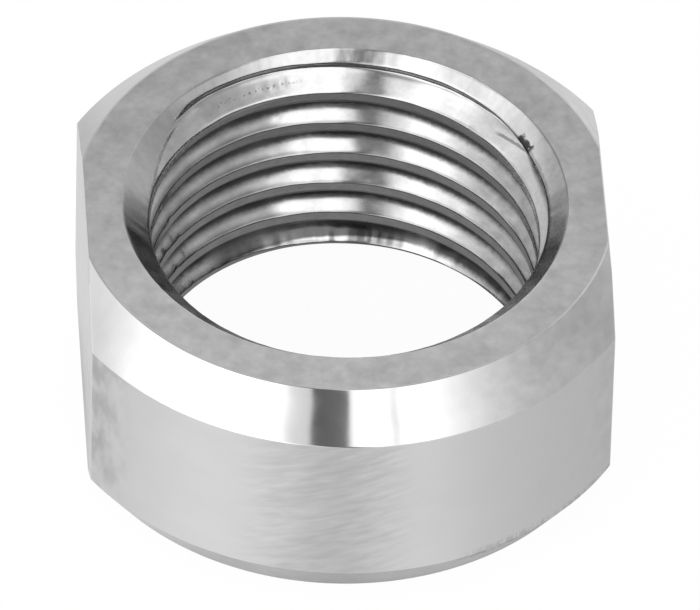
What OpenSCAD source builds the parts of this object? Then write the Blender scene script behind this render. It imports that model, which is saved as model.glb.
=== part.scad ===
// Ring-shaped lock nut, turned from round bar, with two wrench flats.
// Z is the thread axis and Z = 0 is the lower face.
// The wrench flats face +X and -X.

/* [Body] */
// Outside diameter of the turned wall
body_d = 29.5; // [27.5:0.5:36]
// Height from the lower face to the upper face
height = 12.5; // [8:0.5:25]
// Distance across the two wrench flats
across_flats = 24.9; // [23.5:0.1:27]

/* [Outer edges] */
// Height of the polished chamfer under the upper face
top_chamfer_h = 1.95; // [0.5:0.05:3]
// How far that chamfer draws the upper face in
top_chamfer_w = 1.9; // [0.5:0.05:2.2]
// Height of the chamfer above the lower face
base_chamfer_h = 2.15; // [0.5:0.05:3]
// How far that chamfer draws the lower face in
base_chamfer_w = 1.45; // [0.5:0.05:2.2]

/* [Thread] */
// Diameter of the hole at the thread's crests
crest_d = 18.6; // [16:0.1:19]
// Rise of the thread in one turn
pitch = 2; // [1.75:0.25:2.5]
// Width of the flat land along each crest
crest_land = 1; // [0.5:0.05:1.1]
// Width of the flat along each root
root_land = 0.15; // [0.05:0.05:0.35]
// Slope of the thread's flanks, measured from a plane across the axis
flank_angle = 30; // [25:1:40]
// Height of a crest's middle line above the lower face, at the back (+Y)
crest_z = 0.5; // [0:0.1:2]
// Depth of the countersink that leads into the thread from above
top_sink_h = 1.35; // [0.3:0.05:2]
// Depth of the countersink that leads into the thread from below
base_sink_h = 0.75; // [0.3:0.05:2]
// Angle of both countersinks, measured from the thread axis
sink_angle = 45; // [30:1:55]

/* [Hidden] */
$fn = 128;

body_r = body_d / 2;
crest_r = crest_d / 2;
top_mouth_r = crest_r + top_sink_h * tan(sink_angle);
base_mouth_r = crest_r + base_sink_h * tan(sink_angle);
root_r = crest_r + (pitch - crest_land - root_land) / 2 / tan(flank_angle);

// The cutter of the thread groove starts this far inside the crests
cutter_reach = 0.2;
cutter_r = crest_r - cutter_reach;
cutter_land = pitch - crest_land + 2 * cutter_reach * tan(flank_angle);
// Sections of the groove in one turn, and turns that carry it past both faces
turn_steps = 72;
turns = ceil(height / pitch) + 2;

// Half of the turned section, from the thread's crests out to the wall
module turned_section() {
    polygon([
        [base_mouth_r, 0],
        [body_r - base_chamfer_w, 0],
        [body_r, base_chamfer_h],
        [body_r, height - top_chamfer_h],
        [body_r - top_chamfer_w, height],
        [top_mouth_r, height],
        [crest_r, height - top_sink_h],
        [crest_r, base_sink_h],
    ]);
}

// Tool for the groove between the crests: a trapezoid carried up round the
// axis as a right-hand helix, from below the lower face to above the upper one
module thread_groove() {
    section = [
        [cutter_r, cutter_land / 2],
        [root_r, root_land / 2],
        [root_r, -root_land / 2],
        [cutter_r, -cutter_land / 2],
    ];
    corners = len(section);
    steps = turns * turn_steps;
    // Midway between two crests, and one whole turn lower
    start_z = crest_z - pitch / 2 - pitch;
    points = [
        for (i = [0 : steps], p = section)
            let (a = 90 + 360 * i / turn_steps, z = start_z + pitch * i / turn_steps)
                [p[0] * cos(a), p[0] * sin(a), z + p[1]]
    ];
    sides = [
        for (i = [0 : steps - 1], k = [0 : corners - 1])
            let (here = corners * i, next = here + corners, n = (k + 1) % corners)
                each [
                    [here + k, next + k, next + n],
                    [here + k, next + n, here + n],
                ]
    ];
    first_cap = [for (k = [0 : corners - 1]) k];
    last_cap = [for (k = [corners - 1 : -1 : 0]) corners * steps + k];
    polyhedron(points, concat(sides, [first_cap, last_cap]));
}

// The turned ring with its two sides milled flat and its thread cut
module lock_nut() {
    color("silver")
    difference() {
        intersection() {
            rotate_extrude() turned_section();
            translate([-across_flats / 2, -body_d, -height])
                cube([across_flats, 2 * body_d, 3 * height]);
        }
        thread_groove();
    }
}

lock_nut();
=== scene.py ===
import math

import bpy
import numpy as np
from mathutils import Euler, Matrix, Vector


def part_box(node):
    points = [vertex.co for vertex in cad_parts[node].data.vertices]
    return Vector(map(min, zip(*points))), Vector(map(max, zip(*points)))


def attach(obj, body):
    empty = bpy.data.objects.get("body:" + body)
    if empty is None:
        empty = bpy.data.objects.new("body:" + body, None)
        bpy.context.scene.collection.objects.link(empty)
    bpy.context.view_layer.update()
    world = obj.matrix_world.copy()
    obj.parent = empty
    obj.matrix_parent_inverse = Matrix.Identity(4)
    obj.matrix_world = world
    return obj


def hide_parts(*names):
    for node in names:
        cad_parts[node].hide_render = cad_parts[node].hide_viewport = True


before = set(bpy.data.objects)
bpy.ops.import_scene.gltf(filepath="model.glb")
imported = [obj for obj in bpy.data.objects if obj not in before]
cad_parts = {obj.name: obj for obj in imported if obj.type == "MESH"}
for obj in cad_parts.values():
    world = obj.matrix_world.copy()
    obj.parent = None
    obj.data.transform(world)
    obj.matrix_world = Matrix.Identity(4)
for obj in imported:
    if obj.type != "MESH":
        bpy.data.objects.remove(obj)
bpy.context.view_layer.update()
print("frame loaded")

mm = 0.001
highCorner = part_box("lock_nut")[1]

# the nut, in millimetres and degrees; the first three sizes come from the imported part
nut = {
    "halfFlats": highCorner.x / mm,
    "bodyRadius": highCorner.y / mm,
    "height": highCorner.z / mm,
    "topChamferWidth": 1.9,
    "topChamferHeight": 1.95,
    "baseChamferWidth": 1.45,
    "baseChamferHeight": 2.15,
    "rimRound": 0.05,        # edges between a face and a chamfer
    "ridgeRound": 0.12,      # edges between a chamfer and the wall
    "flatRound": 0.1,        # edges of the wrench flats
    "crestRadius": 9.3,
    "rootRadius": 10.2,
    "pitch": 2.0,
    "crestLand": 0.56,
    "flankAngle": 37.5,      # slope of the flanks, from a plane across the axis
    "crestHeight": 0.56,     # a crest's middle line at the back, above the lower face
    "crestRound": 0.05,
    "rootRound": 0.08,
    "topCrestFrom": 11.45,   # above this, at the back, the crest is a plain edge and the root is deeper
    "topCrestBlend": 0.3,
    "topCrestAngles": (0.3, 0.9, 3.1, 3.8),      # radians: where that sets in, is full twice, and is gone
    "topRootDeeper": 0.12,
    "topSinkDepth": 1.35,
    "baseSinkDepth": 0.75,
    "sinkAngle": 45,
    "lipRound": 0.25,        # worn edge where the thread's last groove runs out into a countersink
    "mouthRound": 0.05,
}

# how the tools left it, in millimetres
wear = {
    "crestWander": 0.012,    # how far the crests' edges stray along the axis
    "boreRipple": 0.0012,    # how far the bore's surface stays out of true
    "sinkChatter": 0.004,    # depth of the chatter marks round the upper countersink
    "rimBurr": 0.012,        # uneven burr along the lower rim of the thread
    "rimBurrHeight": 1.0,
    "rimBurrWidth": 0.25,
    "runOutAngles": (126, 172, 200, 240),        # the highest groove grows shallow and deepens again
    "runOutHeight": 10.9,
    "runOutRise": 0.3,
    "runOutDepth": 1.0,
    # each mark's angle, height, half width round the bore, half height and depth, below 0 for a raised burr
    "marks": [
        (47, 10.62, 0.14, 0.10, 0.05),
        (106, 9.22, 0.10, 0.08, -0.02),
        (62, 4.98, 0.10, 0.08, -0.04),
        (154, 7.30, 0.24, 0.16, -0.03),
        (150, 7.15, 0.14, 0.12, 0.06),
        (148, 5.40, 0.20, 0.16, -0.03),
        (152, 5.20, 0.14, 0.14, 0.06),
        (144, 5.10, 0.16, 0.12, 0.05),
        (141, 3.40, 0.18, 0.14, -0.03),
        (145, 3.15, 0.14, 0.12, 0.06),
        (136, 2.95, 0.14, 0.11, 0.04),
        (158, 8.95, 0.16, 0.12, 0.05),
    ],
    "pits": 26,              # a row of specks along the flank of the highest whole crest
    "pitAngles": (99, 126),
    "pitHeights": (11.3, 11.39),
    "pitDepth": 0.03,
}

# how finely its surface is divided
grid = {
    "flatColumns": 56,       # across each wrench flat
    "roundColumns": 132,     # round each turned side
    "crowding": 0.9,         # how far columns gather at the flats' edges, below 1
    "boreRows": 190,
    "cornerRows": 5,
    "wallRows": 10,
    "chamferRows": 4,
    "faceRows": 4,
}


# the larger of a and b, rounded where they are within reach of each other: plus (reach - gap)^2 / 4 reach
def softMax(a, b, reach):
    blend = np.maximum(reach - np.abs(a - b), 0)
    return np.maximum(a, b) + blend * blend / (4 * reach)


# the smaller of a and b, rounded the same way
def softMin(a, b, reach):
    return -softMax(-a, -b, reach)


# 0 up to t = 0, 1 from t = 1, and t^2 (3 - 2 t) between
def smoothStep(t):
    t = np.clip(t, 0, 1)
    return t * t * (3 - 2 * t)


# steps from 0 towards 1 that are short at both ends: t - crowding sin(2 pi t) / 2 pi
def crowdEnds(count, crowding):
    t = np.arange(count) / count
    return t - crowding * np.sin(2 * np.pi * t) / (2 * np.pi)


# points of an arc of the given rounding that touches the straight runs from a corner back and ahead: its
# middle plus a blend of its two end spokes, weighted by sin((1 - t) turn) and sin(t turn) over sin(turn)
def cornerArc(behind, corner, ahead, rounding):
    back = (behind - corner) / np.linalg.norm(behind - corner)
    onward = (ahead - corner) / np.linalg.norm(ahead - corner)
    half = math.acos(np.dot(back, onward)) / 2
    middle = corner + (back + onward) / np.linalg.norm(back + onward) * rounding / math.sin(half)
    first = corner + back * rounding / math.tan(half) - middle
    last = corner + onward * rounding / math.tan(half) - middle
    turn = math.pi - 2 * half
    share = np.linspace(0, 1, grid["cornerRows"])
    weights = np.outer(np.sin((1 - share) * turn), first) + np.outer(np.sin(share * turn), last)
    return middle + weights / math.sin(turn)


# a path of radius and height with rounded corners; corners are (radius, height, rounding), and rows are the
# steps along each straight run
def roundedPath(corners, rows):
    places = [np.array(corner[:2]) for corner in corners]
    points = [places[0]]
    for i in range(1, len(corners)):
        arc = [places[i]]
        if corners[i][2] > 0:
            arc = list(cornerArc(places[i - 1], places[i], places[i + 1], corners[i][2]))
        run = np.linspace(points[-1], arc[0], rows[i - 1] + 1)[1:-1]
        points += list(run) + arc
    return np.array(points)


# the turned side cut by two planes: the smaller of the path's radius and halfFlats / |cos angle|; each
# ring's columns gather where its own circle meets the planes, at acos(halfFlats / radius)
def outerRings():
    bodyRadius, height = nut["bodyRadius"], nut["height"]
    baseRim = bodyRadius - nut["baseChamferWidth"]
    topRim = bodyRadius - nut["topChamferWidth"]
    path = roundedPath([
        (baseRim - 2 * nut["rimRound"], 0, 0),
        (baseRim, 0, nut["rimRound"]),
        (bodyRadius, nut["baseChamferHeight"], nut["ridgeRound"]),
        (bodyRadius, height - nut["topChamferHeight"], nut["ridgeRound"]),
        (topRim, height, nut["rimRound"]),
        (topRim - 2 * nut["rimRound"], height, 0),
    ], [1, grid["chamferRows"], grid["wallRows"], grid["chamferRows"], 1])
    radius = path[:, 0][:, None]
    z = path[:, 1][:, None]
    # the planes themselves are rounded off at both ends
    rounding = nut["flatRound"]
    toEnd = np.minimum(np.minimum(z, height - z), rounding)
    plane = nut["halfFlats"] - rounding + np.sqrt(np.maximum(rounding ** 2 - (rounding - toEnd) ** 2, 0))
    edge = np.arccos(np.minimum(plane / radius, 1))
    across = crowdEnds(grid["flatColumns"], grid["crowding"])[None, :]
    around = crowdEnds(grid["roundColumns"], grid["crowding"])[None, :]
    flatAngle = np.arctan((2 * across - 1) * np.tan(edge))
    roundAngle = edge + around * (math.pi - 2 * edge)
    angle = np.concatenate([flatAngle, roundAngle, flatAngle + math.pi, roundAngle + math.pi], axis=1)
    ring = softMin(radius + 0 * angle, plane / np.abs(np.cos(angle)), rounding * np.tan(edge))
    return np.stack([ring * np.cos(angle), ring * np.sin(angle), z + 0 * angle], axis=2)


# one even turn of angles, counted from the first edge of the +X flat as the outer rings are
def columnAngles():
    columns = 2 * (grid["flatColumns"] + grid["roundColumns"])
    start = -math.pi * grid["flatColumns"] / columns
    return start + 2 * math.pi * np.arange(columns) / columns


# an uneven field about 0: a sum of waves cos(m angle + n z + phase), with m whole numbers from the slowest
# to the fastest, and n and phase drawn at random, scaled to a spread of 1
def uneven(angle, z, slowest, fastest, seed):
    draw = np.random.default_rng(seed)
    counts = np.unique(np.round(np.geomspace(slowest, fastest, 9)))
    total = 0 * (angle + z)
    for count in counts:
        total = total + np.cos(count * angle + draw.uniform(-3, 3) * z + draw.uniform(0, 2 * math.pi))
    return total / math.sqrt(len(counts) / 2)


# the marks' depth at a place: each is depth exp(-(arc / width)^2 - (rise / height)^2)
def marks(angle, z):
    draw = np.random.default_rng(5)
    places = list(wear["marks"])
    for i in range(wear["pits"]):
        share = (i + draw.uniform(0.2, 0.8)) / wear["pits"]
        degrees = wear["pitAngles"][0] * (1 - share) + wear["pitAngles"][1] * share
        height = wear["pitHeights"][0] * (1 - share) + wear["pitHeights"][1] * share
        height += draw.uniform(-0.06, 0.06)
        width = draw.uniform(0.05, 0.14)
        places.append((degrees, height, width, 0.05, wear["pitDepth"] * draw.uniform(-1, 1)))
    depth = 0 * (angle + z)
    for degrees, height, width, tall, cut in places:
        arc = (np.mod(angle - math.radians(degrees) + math.pi, 2 * math.pi) - math.pi) * nut["crestRadius"]
        depth = depth + cut * np.exp(-(arc / width) ** 2 - ((z - height) / tall) ** 2)
    return depth


# how much shallower the thread's root is: full depth times S-shaped steps in angle and height
def runOut(angle, z):
    first, full, held, last = [math.radians(degrees) for degrees in wear["runOutAngles"]]
    around = np.mod(angle, 2 * math.pi)
    share = smoothStep((around - first) / (full - first)) * smoothStep((last - around) / (last - held))
    return wear["runOutDepth"] * share * smoothStep((z - wear["runOutHeight"]) / wear["runOutRise"])


# the largest of three cuts: the thread, whose radius grows with the distance of z from the nearest crest's
# middle line, and the two countersinks, whose radius grows by tan(sinkAngle) towards each face
def boreRadius(angle, z):
    slope = 1 / math.tan(math.radians(nut["flankAngle"]))
    strayed = z + wear["crestWander"] * uneven(angle, z, 4, 26, 1)
    turns = (strayed - nut["crestHeight"]) / nut["pitch"] - (angle - math.pi / 2) / (2 * math.pi)
    fromCrest = np.abs(turns - np.round(turns)) * nut["pitch"]
    # the highest turn, at the back
    wrapped = np.mod(angle + math.pi / 2, 2 * math.pi) - math.pi / 2
    above = z - nut["topCrestFrom"] - (wrapped - math.pi / 2) * nut["pitch"] / (2 * math.pi)
    first, full, held, last = nut["topCrestAngles"]
    atBack = smoothStep((wrapped - first) / (full - first)) * smoothStep((last - wrapped) / (last - held))
    land = nut["crestLand"] * (1 - smoothStep(above / nut["topCrestBlend"]) * atBack)
    flank = nut["crestRadius"] + (fromCrest - land / 2) * slope
    thread = softMax(flank, nut["crestRadius"], nut["crestRound"] * slope)
    deeper = nut["topRootDeeper"] * smoothStep(2 * above / nut["topCrestBlend"]) * atBack
    thread = softMin(thread, nut["rootRadius"] + deeper - runOut(angle, z), nut["rootRound"] * slope)
    thread = thread + wear["boreRipple"] * uneven(angle, z, 6, 50, 2)
    burr = np.exp(-((z - wear["rimBurrHeight"]) / wear["rimBurrWidth"]) ** 2) * wear["rimBurr"]
    thread = thread - burr * uneven(angle, 0 * z, 30, 110, 3)
    sink = math.tan(math.radians(nut["sinkAngle"]))
    top = nut["crestRadius"] + (z - nut["height"] + nut["topSinkDepth"]) * sink
    top = top + wear["sinkChatter"] * uneven(angle, z, 24, 130, 4)
    base = nut["crestRadius"] + (nut["baseSinkDepth"] - z) * sink
    return softMax(softMax(thread, top, nut["lipRound"]), base, nut["lipRound"] / 3) + marks(angle, z)


# rings down the bore, from the upper mouth to the lower one; their heights gather at the thread's corners,
# as each ring is moved along the axis by a repeating function of its place in the pitch
def boreRings():
    setback = nut["mouthRound"] * 0.6
    z = np.linspace(nut["height"] - setback, setback, grid["boreRows"])[:, None]
    angle = columnAngles()[None, :]
    place = np.linspace(0, 1, 401)
    edge = nut["crestLand"] / 2 / nut["pitch"]
    away = np.abs(place[:, None] - np.array([edge, 0.5, 1 - edge])[None, :])
    away = np.minimum(away, 1 - away) * nut["pitch"] / (1.5 * nut["crestRound"])
    crowd = 1 + 2 * (1 / (1 + away * away)).sum(axis=1)
    filled = np.concatenate([[0], np.cumsum((crowd[1:] + crowd[:-1]) / 2)])
    filled /= filled[-1]
    turns = (z - nut["crestHeight"]) / nut["pitch"] - (angle - math.pi / 2) / (2 * math.pi)
    whole = np.floor(turns)
    moved = (whole + np.interp(turns - whole, filled, place) - turns) * nut["pitch"]
    z = z + moved * smoothStep(np.minimum(z - setback, nut["height"] - setback - z) / 1.2)
    radius = boreRadius(angle, z)
    return np.stack([radius * np.cos(angle), radius * np.sin(angle), z + 0 * angle], axis=2)


# the bore's own outline in the plane of a face, a little wider, so that its edge is rounded
def mouthRing(z):
    angle = columnAngles()
    radius = boreRadius(angle, z + 0 * angle) + 0.4 * nut["mouthRound"]
    return np.stack([radius * np.cos(angle), radius * np.sin(angle), z + 0 * angle], axis=1)[None]


# rings between two others: a straight line from each point of the first to the same column of the last
def faceRings(first, last):
    share = np.linspace(0, 1, grid["faceRows"] + 2)[1:-1, None, None]
    return first[None] * (1 - share) + last[None] * share


# each point's normal is the sum of its faces' normals weighted by their areas, so that broad flats stay flat
def areaNormals(points, faces):
    corners = points[faces]
    cross = np.cross(corners[:, 2] - corners[:, 0], corners[:, 3] - corners[:, 1])
    normals = np.zeros_like(points)
    for k in range(4):
        np.add.at(normals, faces[:, k], cross)
    return normals / np.linalg.norm(normals, axis=1, keepdims=True)


# each face's finish by where it lies: 0 turned wall, 1 milled flat, 2 polished chamfer, 3 faced end,
# 4 thread, 5 countersink, 6 lower chamfer
def zones(surface, faces, counts):
    middle = surface.reshape(-1, 3)[faces].mean(axis=1)
    radius = np.hypot(middle[:, 0], middle[:, 1])
    z = middle[:, 2]
    outer, top, mouth, bore, lowerMouth, base = np.cumsum(counts) - 1     # each part's last ring
    row = np.arange(len(faces)) // surface.shape[1]
    sink = math.tan(math.radians(nut["sinkAngle"]))
    cone = nut["crestRadius"] + (z - nut["height"] + nut["topSinkDepth"]) * sink
    zone = np.zeros(len(faces), int)
    zone[z > nut["height"] - nut["topChamferHeight"]] = 2
    zone[z < nut["baseChamferHeight"]] = 6
    zone[np.abs(middle[:, 0]) > nut["halfFlats"] - nut["flatRound"] / 4] = 1
    zone[(row >= outer) & (row < mouth)] = 3
    zone[(row >= mouth) & (row < lowerMouth)] = 4
    zone[(zone == 4) & (radius < cone + 0.03)] = 5
    zone[row >= lowerMouth] = 3
    return zone


# all rings in order: up the outside, over the upper face, down the bore and back under the lower face
def makeNut():
    outer = outerRings()
    bore = boreRings()
    topMouth = mouthRing(nut["height"])
    baseMouth = mouthRing(0.0)
    top = faceRings(outer[-1], topMouth[0])
    base = faceRings(baseMouth[0], outer[0])
    rings = [outer, top, topMouth, bore, baseMouth, base]
    surface = np.concatenate(rings)
    rows, columns = surface.shape[:2]
    row = np.arange(rows)[:, None]
    column = np.arange(columns)[None, :]
    nextRow = (row + 1) % rows
    nextColumn = (column + 1) % columns
    faces = np.stack([
        row * columns + column,
        row * columns + nextColumn,
        nextRow * columns + nextColumn,
        nextRow * columns + column,
    ], axis=2).reshape(-1, 4)
    points = surface.reshape(-1, 3) * mm
    mesh = bpy.data.meshes.new("nutSurface")
    mesh.from_pydata(points, [], faces)
    mesh.polygons.foreach_set("use_smooth", np.ones(len(faces), bool))
    mesh.polygons.foreach_set("material_index", zones(surface, faces, [len(part) for part in rings]))
    mesh.update()
    mesh.normals_split_custom_set_from_vertices(areaNormals(points, faces))
    piece = bpy.data.objects.new("threaded_ring", mesh)
    bpy.context.scene.collection.objects.link(piece)
    print("nut made:", rows, "rings of", columns, "points,", 2 * len(faces), "triangles")
    return piece


# the camera stands off with a long lens, a little left of the nut's front
view = {
    "frameWidth": 700,       # pixels
    "focalPixels": 17265.7,
    "distance": 828.2,       # millimetres from the middle of the nut
    "elevation": 44.19,      # degrees
    "azimuth": 4.30,
    "roll": 1.52,
    "shiftPixels": (7.17, -9.69),
}


# on a sphere round the nut's middle, at the view's azimuth and elevation, rolled about its own axis
def makeCamera():
    data = bpy.data.cameras.new("camera")
    camera = bpy.data.objects.new("camera", data)
    bpy.context.scene.collection.objects.link(camera)
    azimuth = math.radians(view["azimuth"])
    elevation = math.radians(view["elevation"])
    away = view["distance"] * mm
    camera.location = (
        -away * math.sin(azimuth) * math.cos(elevation),
        -away * math.cos(azimuth) * math.cos(elevation),
        away * math.sin(elevation) + nut["height"] * mm / 2,
    )
    aim = Euler((math.pi / 2 - elevation, 0, -azimuth)).to_matrix()
    aim = aim @ Matrix.Rotation(math.radians(view["roll"]), 3, "Z")
    camera.rotation_euler = aim.to_euler()
    data.sensor_width = 36
    data.lens = data.sensor_width * view["focalPixels"] / view["frameWidth"]
    data.shift_x = view["shiftPixels"][0] / view["frameWidth"]
    data.shift_y = view["shiftPixels"][1] / view["frameWidth"]
    data.clip_start = 0.01
    data.clip_end = 10
    bpy.context.scene.camera = camera
    print("camera placed")


# one output socket of a node; sums, differences, products and quotients of wires and numbers add Math nodes
class Wire:
    def __init__(self, tree, socket=None):
        self.tree = tree
        self.socket = socket

    # a node of any kind: its settings first, then each input socket's value or wire
    def add(self, kind, settings, values, output=0):
        node = self.tree.nodes.new(kind)
        for name, value in settings.items():
            if name == "stops":
                ramp = node.color_ramp.elements
                while len(ramp) < len(value):
                    ramp.new(0.5)
                for element, (place, level) in zip(ramp, value):
                    element.position = place
                    element.color = (level, level, level, 1)
            else:
                setattr(node, name, value)
        for name, value in values.items():
            if isinstance(value, Wire):
                self.tree.links.new(value.socket, node.inputs[name])
            else:
                node.inputs[name].default_value = value
        return Wire(self.tree, node.outputs[output] if node.outputs else None)

    def math(self, operation, first, second=0.0):
        return self.add("ShaderNodeMath", {"operation": operation}, {0: first, 1: second})

    def __add__(self, other):
        return self.math("ADD", self, other)

    def __radd__(self, other):
        return self.math("ADD", other, self)

    def __sub__(self, other):
        return self.math("SUBTRACT", self, other)

    def __rsub__(self, other):
        return self.math("SUBTRACT", other, self)

    def __mul__(self, other):
        return self.math("MULTIPLY", self, other)

    def __rmul__(self, other):
        return self.math("MULTIPLY", other, self)

    def __truediv__(self, other):
        return self.math("DIVIDE", self, other)

    def __rtruediv__(self, other):
        return self.math("DIVIDE", other, self)

    # 0 up to low, 1 from high, with a smooth S between
    def between(self, low, high):
        values = {"Value": self, "From Min": low, "From Max": high}
        return self.add("ShaderNodeMapRange", {"interpolation_type": "SMOOTHSTEP"}, values)

    # the three parts of a vector
    def parts(self):
        return [self.add("ShaderNodeSeparateXYZ", {}, {0: self}, k) for k in range(3)]


# the studio, as brightness by direction: light panels round the camera with a dark gap straight above it, a
# darker roof, and the room behind; a pair is where a change sets in and where it is full
studio = {
    "widest": 1.2,           # stops run from -1.2, far left, to 1.2, far right
    "brightest": 2.0,        # brightness that a ramp's white stands for
    "stops": [
        (-1.2, 0.9), (-1.0, 1.0), (-0.92, 1.2), (-0.85, 1.5), (-0.5, 1.7), (-0.31, 1.7),
        (-0.245, 1.0), (-0.21, 0.88), (-0.1, 0.82), (0.03, 1.2), (0.13, 1.6), (0.235, 1.55),
        (0.27, 1.0), (0.305, 1.55), (0.45, 1.45), (0.55, 1.15), (0.65, 0.93), (0.72, 0.78),
        (0.8, 0.64), (0.88, 0.52), (0.95, 0.46), (1.2, 0.42),
    ],
    "lean": 0.1,             # how far the panels move left as a direction rises
    "leanFrom": 0.7,
    "gapMiddle": -0.047,
    "gapHalf": 0.097,
    "gapEdge": (0.85, 1.1),          # times its half width
    "gapLean": 0.25,
    "gapDark": 0.16,         # share of the panels' light that is left in the gap
    "roof": (0.5, 0.1, 0.86),        # its middle on either side: beside, towards the camera, up
    "roofEdge": (0.895, 0.955),
    "roofRight": 0.65,       # share of the light that it takes away on each side
    "roofRightFrom": (0.3, 0.5),
    "roofLeft": 0.5,
    "roofLeftFrom": (0.4, 0.75),
    "behind": (-0.25, 0.15),         # the room passes into the panels; straight towards the camera is 1
    "behindLow": 0.33,       # the room's brightness, what it gains straight behind, and low on the left
    "behindRise": 0.55,
    "behindLeft": 1.1,
    "behindLeftFrom": (0.6, 0.95),
}


# brightness of the world: the stops by how far a direction leans sideways, times what the gap and the roof
# leave, passing into the room behind; the camera itself sees plain white
def makeWorld():
    world = bpy.data.worlds.new("studio")
    world.use_nodes = True
    bpy.context.scene.world = world
    tree = world.node_tree
    tree.nodes.clear()
    start = Wire(tree)
    x, y, z = start.add("ShaderNodeTexCoord", {}, {}, "Generated").parts()
    turn = math.radians(view["azimuth"])
    beside = x * math.cos(turn) - y * math.sin(turn)
    toward = 0 - x * math.sin(turn) - y * math.cos(turn)
    risen = z - studio["leanFrom"]
    widest, brightest = studio["widest"], studio["brightest"]
    stops = [((side + widest) / (2 * widest), level / brightest) for side, level in studio["stops"]]
    place = (beside + risen * studio["lean"] + widest) / (2 * widest)
    panels = start.add("ShaderNodeValToRGB", {"stops": stops}, {"Fac": place}) * brightest
    across = beside + risen * studio["gapLean"] - studio["gapMiddle"]
    gap = (x.math("ABSOLUTE", across) / studio["gapHalf"]).between(*studio["gapEdge"])
    aside, ahead, up = studio["roof"]
    roof = (x.math("ABSOLUTE", x) * aside + toward * ahead + z * up).between(*studio["roofEdge"])
    sides = x.between(*studio["roofRightFrom"]) * studio["roofRight"]
    sides = sides + (0 - x).between(*studio["roofLeftFrom"]) * studio["roofLeft"]
    panels = panels * (1 - roof * sides) * (studio["gapDark"] + gap * (1 - studio["gapDark"]))
    left = (0 - x).between(*studio["behindLeftFrom"]) * (1 - z)
    room = studio["behindLow"] + toward * toward * studio["behindRise"] + left * studio["behindLeft"]
    level = room + (panels - room) * toward.between(*studio["behind"])
    isCamera = start.add("ShaderNodeLightPath", {}, {}, "Is Camera Ray")
    shown = level + (1 - level) * isCamera
    colour = start.add("ShaderNodeCombineColor", {}, {0: shown, 1: shown, 2: shown})
    light = start.add("ShaderNodeBackground", {}, {"Color": colour})
    start.add("ShaderNodeOutputWorld", {}, {"Surface": light})
    print("studio lit")


# a broad square in the plane of the nut's lower face
ground = {
    "half": 1.5,             # metres
    "pale": 0.8,
    "underNut": 0.21,        # its shade where little light comes down through the bore
    "underNutTo": (0.010, 0.0152),
    "cameraWhite": 0.95,     # share of plain white that is seen; the rest is the matt floor with the shadow
    "metalWhite": 0.86,      # how bright metal and glass see it, times its shade
}


# white to the camera and pale in metal and glass, over a matt floor that takes the nut's shadow
def makeFloor():
    half = ground["half"]
    corners = [(-half, -half, 0), (half, -half, 0), (half, half, 0), (-half, half, 0)]
    mesh = bpy.data.meshes.new("floorSurface")
    mesh.from_pydata(corners, [], [(0, 1, 2, 3)])
    floor = bpy.data.objects.new("floor", mesh)
    bpy.context.scene.collection.objects.link(floor)
    material = bpy.data.materials.new("paleFloor")
    material.use_nodes = True
    tree = material.node_tree
    tree.nodes.clear()
    start = Wire(tree)
    x, y, z = start.add("ShaderNodeTexCoord", {}, {}, "Object").parts()
    clear = start.math("SQRT", x * x + y * y).between(*ground["underNutTo"])
    shade = ground["underNut"] + clear * (ground["pale"] - ground["underNut"])
    isCamera = start.add("ShaderNodeLightPath", {}, {}, "Is Camera Ray")
    mirrored = start.add("ShaderNodeLightPath", {}, {}, "Is Glossy Ray")
    mirrored = mirrored + start.add("ShaderNodeLightPath", {}, {}, "Is Transmission Ray")
    seen = isCamera + mirrored * shade * ground["metalWhite"]
    seen = start.add("ShaderNodeCombineColor", {}, {0: seen, 1: seen, 2: seen})
    matt = start.add("ShaderNodeBsdfDiffuse", {}, {"Color": shade})
    white = start.add("ShaderNodeEmission", {}, {"Color": seen, "Strength": 1.02})
    plain = (isCamera + mirrored) * ground["cameraWhite"]
    both = start.add("ShaderNodeMixShader", {}, {0: plain, 1: matt, 2: white})
    start.add("ShaderNodeOutputMaterial", {}, {"Surface": both})
    mesh.materials.append(material)
    print("floor laid")


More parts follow.
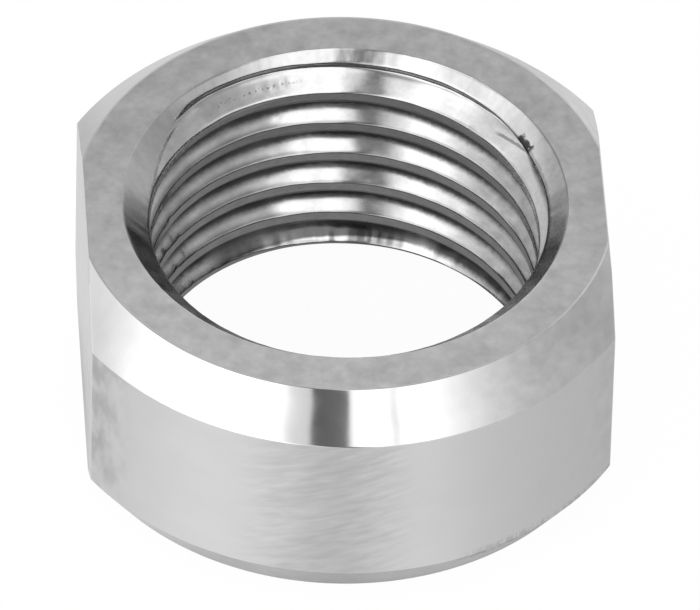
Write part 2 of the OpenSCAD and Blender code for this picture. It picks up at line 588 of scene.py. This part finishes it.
# the finishes of the steel and the light and shade painted on them: brightness, roughness and how far the
# tool's lines draw highlights out; a pair is where a change sets in and where it is full, in millimetres
# along x unless its note says otherwise
finishesAndPaintedLight = {
    "turnedWall": {
        "bright": 0.8, "rough": 0.5, "streaked": 0.9,
        "strokeSize": (1.5, 1.5, 0.3), "strokeTurn": -17,
        "strokesFrom": (-6.5, -3.5), "strokesTo": (1, 3),
        "leftStain": (-12.2, -10.3), "rightStain": (10.5, 12.4),
        "stainRise": (1, 4),             # height
        "leftPale": (-8, -6), "rightPale": (4, 9),
        "teethFrom": (4.5, 6.5),
        "teethRise": (0.1, 0.45),        # height over the lower chamfer
    },
    "milledFlat": {
        "bright": 0.74, "rough": 0.3, "streaked": 0.5,
        "lineSize": (1, 9, 0.12),
        "leftPaler": 0.2,
    },
    "polishedChamfer": {
        "bright": 0.76, "rough": 0.08, "streaked": 0.0,
        "wornFrom": (3, 8.5), "dulledTo": (-12.4, -10.7),
        "rightPale": (8.5, 11.5),
    },
    "facedEnd": {
        "bright": 0.72, "rough": 0.45, "streaked": 0.5,
        "dimmer": (-10, 10),             # along y, towards the back
        "rightDim": (8, 12),
    },
    "threadSteel": {
        "bright": 0.72, "rough": 0.17, "streaked": 0.0,
        "leftFrom": (0.8, 3.5), "rightFrom": (1.5, 6),
        "highest": (5, 5.1),             # pitches above the lowest crest
        "highestTo": (8.6, 9.4),
        "lowest": (2, 2.3),              # height
        "root": (0.36, 0.44),            # place in the pitch, and what is added at the sides and ends
        "rootLeft": (-0.09, -0.045), "rootRight": (-0.08, -0.03),
        "rootHighest": (0.13, 0.1), "rootLowest": (-0.08, -0.08),
        "rootTo": (0.85, 0.93),
        "rootDark": 0.88,
        "edge": (0.1, 0.14), "edgeTo": (0.15, 0.19),     # place in the pitch, as are the next four
        "flank": (0.13, 0.16), "flankTo": (0.84, 0.88),
        "ridge": (0.17, 0.22), "ridgeTo": (0.25, 0.33),
        "landsTo": (7, 8.6),             # height
        "lipBand": (0.95, 1.05), "lipBandTo": (1.8, 2),      # height
        "lipBandFrom": (-6.5, -5), "lipBandPast": (3.5, 5.5),
    },
    "sunkEdge": {
        "bright": 0.66, "rough": 0.18, "streaked": 0.0,
        "leftPale": (-9, -6), "rightDim": (8.8, 10.2),
        "lip": (5.70, 5.74),             # pitches above the lowest crest
        "lipClimb": 0.57,                # the lip's climb as a share of the thread's
        "lipTo": (0.1, 0.14),            # turns from the back
    },
    "lowerChamfer": {
        "bright": 0.56, "rough": 0.5, "streaked": 0.9,
        "leftPale": (-10.5, -6), "rightPale": (3, 6), "rightDim": (8.5, 10.5),
        "teethFrom": (4, 6),
        "teethRise": (-0.9, -0.4),       # height over its upper edge
    },
}

# single flaws at the upper mouth, the chip among them painted only as its shade: turns from the back,
# heights, and places in the pitch
flaws = {
    "chipFrom": (-0.188, -0.184), "chipTo": (-0.169, -0.165),
    "chipBottom": (11.25, 11.4), "chipTop": (11.85, 12),
    "scratchMiddle": (-0.161, 0.4),      # turns and place in the pitch
    "scratchSlope": -3.56,
    "scratchHalf": (0.012, 0.034),
    "scratchFrom": (-0.186, -0.176), "scratchTo": (-0.148, -0.14),
    "specksPlace": 0.33,
    "specksHalf": 0.05,
    "specksFrom": (0.02, 0.035), "specksTo": (0.095, 0.11),
}


# the place on the nut in millimetres along x, y and z
def placeOn(start):
    place = start.add("ShaderNodeTexCoord", {}, {}, "Object")
    return [part / mm for part in place.parts()]


# the way round the bore in turns from the back: the angle from x over a full turn, less a quarter
def turnsRound(x, y):
    return x.math("ARCTAN2", y, x) / (2 * math.pi) - 0.25


# noise with features of the given lengths along x, y and z in millimetres, in axes turned about y
def grain(start, lengths, turn=0.0):
    place = start.add("ShaderNodeTexCoord", {}, {}, "Object")
    sizes = [length * mm for length in lengths]
    place = start.add("ShaderNodeMapping", {"vector_type": "TEXTURE"},
                      {"Vector": place, "Rotation": (0, math.radians(turn), 0), "Scale": sizes})
    return start.add("ShaderNodeTexNoise", {}, {"Vector": place, "Scale": 1.0, "Detail": 2.0}, "Fac")


# noise that runs round the axis: unit direction times body radius / arc, and height or radius / width
def ringNoise(start, profile, arc, width):
    x, y, z = placeOn(start)
    radius = start.math("SQRT", x * x + y * y)
    reach = nut["bodyRadius"] / arc
    along = {"height": z, "radius": radius}[profile] / width
    place = start.add("ShaderNodeCombineXYZ", {}, {0: x / radius * reach, 1: y / radius * reach, 2: along})
    return start.add("ShaderNodeTexNoise", {}, {"Vector": place, "Scale": 1.0, "Detail": 2.0}, "Fac")


# a finish's shader, with its brightness, its roughness and its relief in micrometres as they vary over it
def steel(name, vary):
    look = finishesAndPaintedLight[name]
    material = bpy.data.materials.new(name)
    material.use_nodes = True
    tree = material.node_tree
    shader = tree.nodes["Principled BSDF"]
    shader.inputs["Metallic"].default_value = 1
    shader.inputs["Anisotropic"].default_value = look["streaked"]
    shader.inputs["Anisotropic Rotation"].default_value = 0.25
    start = Wire(tree)
    bright, rough, relief = vary(start, look)
    tint = start.add("ShaderNodeCombineColor", {}, {0: bright, 1: bright, 2: bright})
    bump = start.add("ShaderNodeBump", {}, {"Strength": 1.0, "Distance": 0.000001, "Height": relief})
    tree.links.new(tint.socket, shader.inputs["Base Color"])
    tree.links.new(rough.socket, shader.inputs["Roughness"])
    tree.links.new(bump.socket, shader.inputs["Normal"])
    return material


# the wall: fine lines round it, soft slanting strokes in the middle, stains at both ends, dark teeth low on
# the right, and painted light towards its far left and right
def varyWall(start, look):
    x, y, z = placeOn(start)
    lines = ringNoise(start, "height", 9, 0.09) - 0.5
    cloud = grain(start, (2.5, 2.5, 1.5)) - 0.5
    strokes = grain(start, look["strokeSize"], look["strokeTurn"]) - 0.5
    stroked = x.between(*look["strokesFrom"]) * (1 - x.between(*look["strokesTo"]))
    ends = 1 - x.between(*look["leftStain"]) + x.between(*look["rightStain"]) * 0.4
    stain = grain(start, (0.9, 0.9, 1.4)).between(0.3, 0.7) * ends * z.between(*look["stainRise"])
    teeth = grain(start, (0.25, 0.25, 0.6)).between(0.4, 0.6) * x.between(*look["teethFrom"])
    teeth = teeth * (1 - (z - nut["baseChamferHeight"]).between(*look["teethRise"]))
    # painted light: a little lighter towards the far left and the right
    pale = (1 - x.between(*look["leftPale"])) * 0.02 + x.between(*look["rightPale"]) * 0.05
    bright = look["bright"] + pale + cloud * 0.05 + lines * 0.015
    bright = bright + (strokes * 0.3 - 0.04) * stroked - stain * 0.2 - teeth * 0.15
    rough = look["rough"] + cloud * 0.05 + lines * 0.04
    return bright, rough, lines * 0.8 + strokes * stroked * 3


# the flats: straight lines along y left by the side of a mill, and painted light that makes the left one a
# little paler
def varyFlat(start, look):
    x, y, z = placeOn(start)
    lines = grain(start, look["lineSize"]) - 0.5
    cloud = grain(start, (3, 2, 1.5)) - 0.5
    # painted light: the left flat is lighter
    bright = look["bright"] + (1 - x.between(-1, 1)) * look["leftPaler"] + cloud * 0.12 + lines * 0.04
    return bright, look["rough"] + lines * 0.1 + cloud * 0.1, lines * 1.5


# the polished chamfer: nearly a mirror, with faint lines round it and faint smears across, worn dull on the
# right, and painted light at its right end
def varyChamfer(start, look):
    x, y, z = placeOn(start)
    lines = ringNoise(start, "height", 16, 0.12) - 0.5
    smears = grain(start, (0.9, 0.9, 3)) - 0.5
    nicks = grain(start, (0.8, 0.8, 0.5)) - 0.5
    worn = x.between(*look["wornFrom"])
    dulled = 1 - x.between(*look["dulledTo"])
    # painted light towards the right end
    bright = look["bright"] - dulled * 0.12 + x.between(*look["rightPale"]) * 0.12
    bright = bright + smears * 0.1 + nicks * worn * 0.3
    rough = look["rough"] + smears * 0.06 + lines * 0.03 + worn * 0.25 + dulled * 0.1
    return bright, rough, lines * 0.5 + nicks * worn * 2


# the lower chamfer: turned like the wall, pitted along its upper edge on the right, with painted light on
# the left and a little on the right, and darker at its right end
def varyLower(start, look):
    x, y, z = placeOn(start)
    lines = ringNoise(start, "height", 9, 0.09) - 0.5
    cloud = grain(start, (0.8, 0.8, 0.8)) - 0.5
    teeth = grain(start, (0.3, 0.3, 0.8)).between(0.42, 0.58) * x.between(*look["teethFrom"])
    teeth = teeth * (z - nut["baseChamferHeight"]).between(*look["teethRise"])
    # painted light towards the left and a little towards the right
    pale = (1 - x.between(*look["leftPale"])) * 0.16 + x.between(*look["rightPale"]) * 0.08
    bright = look["bright"] + pale - x.between(*look["rightDim"]) * 0.2 + cloud * 0.1 - teeth * 0.2
    return bright, look["rough"] + cloud * 0.1, lines


# the faces: faint rings left by facing, under a soft mottle, with painted shade towards the back and at the
# right
def varyFace(start, look):
    x, y, z = placeOn(start)
    lines = ringNoise(start, "radius", 7, 0.1) - 0.5
    mottle = grain(start, (0.8, 0.8, 0.8)) - 0.5
    cloud = grain(start, (3.2, 3.2, 3.2)) - 0.5
    speck = grain(start, (0.3, 0.3, 0.3)) - 0.5
    # painted shade: darker towards the back and a little at the right
    bright = look["bright"] - y.between(*look["dimmer"]) * 0.11 - x.between(*look["rightDim"]) * 0.03
    bright = bright + mottle * 0.3 + cloud * 0.16 + speck * 0.14 + lines * 0.03
    return bright, look["rough"] + mottle * 0.12 + lines * 0.06, lines * 1.2 + mottle * 5


# painted shade of a ragged chip along the upper lip, which is not cut into the surface: the share of the
# light it leaves
def chipShade(start, turned, z):
    height = z + (grain(start, (0.3, 0.3, 0.3)) - 0.5) * 0.8
    chip = turned.between(*flaws["chipFrom"]) * (1 - turned.between(*flaws["chipTo"]))
    chip = chip * height.between(*flaws["chipBottom"]) * (1 - height.between(*flaws["chipTop"]))
    return 1 - chip * 0.9


# share of the light that a scratch below the chip and a row of specks on the highest flank leave
def scratched(start, turned, wound, z, fine):
    middle, place = flaws["scratchMiddle"]
    aside = wound - place - (turned - middle) * flaws["scratchSlope"] + fine * 0.03
    scratch = 1 - turned.math("ABSOLUTE", aside).between(*flaws["scratchHalf"])
    scratch = scratch * turned.between(*flaws["scratchFrom"]) * (1 - turned.between(*flaws["scratchTo"]))
    scratch = scratch * z.between(10.4, 10.6)
    aside = turned.math("ABSOLUTE", wound - flaws["specksPlace"])
    specks = grain(start, (0.16, 0.16, 0.14)).between(0.5, 0.62)
    specks = specks * (1 - aside.between(0, flaws["specksHalf"])) * z.between(10.8, 11)
    specks = specks * turned.between(*flaws["specksFrom"]) * (1 - turned.between(*flaws["specksTo"]))
    return (1 - scratch * 0.55) * (1 - specks * 0.5)


# the thread: lines along it, painted shade down in the roots, and painted light and shade on its crests'
# edges, lands and flanks; wound is the place in the pitch, 0 on a crest's middle line and 0.5 in a root, as
# in boreRadius
def varyThread(start, look):
    x, y, z = placeOn(start)
    turned = turnsRound(x, y)
    climbed = (z - nut["crestHeight"]) / nut["pitch"] - turned
    wound = x.math("FRACT", climbed)
    fine = grain(start, (0.25, 0.25, 0.25)) - 0.5
    patches = grain(start, (0.7, 0.7, 0.3)) - 0.5
    lines = ringNoise(start, "height", 12, 0.07) - 0.5
    # painted shade in the roots, reaching further up on both sides than at the back
    high = climbed.between(*look["highest"]) * (1 - x.between(*look["highestTo"]))
    left = (0 - x).between(*look["leftFrom"]) * (1 - high)
    right = x.between(*look["rightFrom"]) * (1 - high)
    lowest = right * (1 - z.between(*look["lowest"]))
    begin, full = [
        look["root"][k] + left * look["rootLeft"][k] + right * look["rootRight"][k]
        + high * look["rootHighest"][k] + lowest * look["rootLowest"][k]
        for k in range(2)
    ]
    rootShade = (wound + fine * 0.06).between(begin, full) * (1 - wound.between(*look["rootTo"]))
    rootShade = rootShade * (1 - high * (0.65 - wound.between(0.55, 0.6) * 0.2))
    rootShade = rootShade * (1 - high * turned.between(0.09, 0.15))
    # painted shade on the crests' upper edges, painted light on their lands lower down and on the flanks at
    # the left and the top, and painted shade on the flanks at the ends
    edgeTo = look["edgeTo"][1] + left * 0.07
    edge = wound.between(*look["edge"]) * (1 - wound.between(look["edgeTo"][0], edgeTo))
    edge = edge * (1 - z.between(10.6, 10.8))
    flank = wound.between(*look["flank"]) * (1 - wound.between(*look["flankTo"]))
    land = (1 - flank) * (1 - z.between(*look["landsTo"]))
    ridge = left * wound.between(*look["ridge"]) * (1 - wound.between(*look["ridgeTo"]))
    far = flank * x.math("ABSOLUTE", x).between(5.5, 8.2) * (1 - z.between(8.5, 10.4))
    sheen = (0 - x).between(2, 4) * (1 - (0 - x).between(5, 7) * 0.6) + x.between(5, 8) * 0.35
    sheen = sheen * high * (1 - wound.between(0.44, 0.5))
    # painted shade: the lower lip's dark band
    low = z.between(*look["lipBand"]) * (1 - z.between(*look["lipBandTo"]))
    low = low * x.between(*look["lipBandFrom"]) * (1 - x.between(*look["lipBandPast"]))
    # the painted shade and painted light above scale the steel's brightness, with the chip's painted shade
    # and the scratch
    shaded = (1 - rootShade * (1 - low) * (look["rootDark"] - left * 0.05)) * (1 - low * (0.82 - left * 0.12))
    shaded = shaded * (1 - edge * 0.38) * (1 + land * 0.25) * (1 + sheen * 0.38) * (1 + ridge * 0.3)
    shaded = shaded * (1 - far * 0.3) * chipShade(start, turned, z) * scratched(start, turned, wound, z, fine)
    bright = (look["bright"] + patches * (0.25 + far * 0.3) + fine * 0.15) * shaded
    return bright, look["rough"] + patches * 0.08 + rootShade * 0.15, lines * 0.5 + patches * 1.2


# the countersink: short streaks across it, painted shade at its left end, along the lip above the highest
# groove and on the front left of the mouth's rim, painted light on its left side, and darker at its right
# end
def varySink(start, look):
    x, y, z = placeOn(start)
    turned = turnsRound(x, y)
    streaks = grain(start, (0.3, 0.3, 1.5)) - 0.5
    patches = grain(start, (1.6, 1.6, 1.6)) - 0.5
    ragged = (grain(start, (0.3, 0.3, 0.3)) - 0.5) * 0.06
    climbed = (z - nut["crestHeight"]) / nut["pitch"] - turned * look["lipClimb"]
    # painted shade along the lip above the highest groove, with a ragged edge
    lip = (1 - (climbed + ragged).between(*look["lip"])) * (1 - turned.between(*look["lipTo"]))
    leftEndShade = (1 - x.between(-10.5, -8)) * y.between(-2.6, -1.6) * (1 - y.between(-1.5, 3.5))
    # painted shade over a bright line along the front left of the mouth's rim
    rim = z.between(12.44, 12.47) * (1 - y.between(-3, 0)) * (1 - x.between(-2, 2))
    shaded = (1 - lip * 0.4) * (1 - leftEndShade * 0.5) * (1 - rim * 0.7) * chipShade(start, turned, z)
    # painted light towards the left side, and darker towards the right end
    bright = look["bright"] + (1 - x.between(*look["leftPale"])) * 0.1 - x.between(*look["rightDim"]) * 0.3
    bright = (bright + streaks * 0.15 + patches * 0.2) * shaded
    return bright, look["rough"] + patches * 0.15, streaks * 2 + patches * 4


makeCamera()
makeWorld()
makeFloor()
piece = makeNut()
# in the order of the numbers that zones gives
for name, vary in (("turnedWall", varyWall), ("milledFlat", varyFlat), ("polishedChamfer", varyChamfer),
                   ("facedEnd", varyFace), ("threadSteel", varyThread), ("sunkEdge", varySink),
                   ("lowerChamfer", varyLower)):
    piece.data.materials.append(steel(name, vary))
    print("finish made:", name)
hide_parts("lock_nut")
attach(piece, "root")

scene = bpy.context.scene
scene.view_settings.view_transform = "Standard"
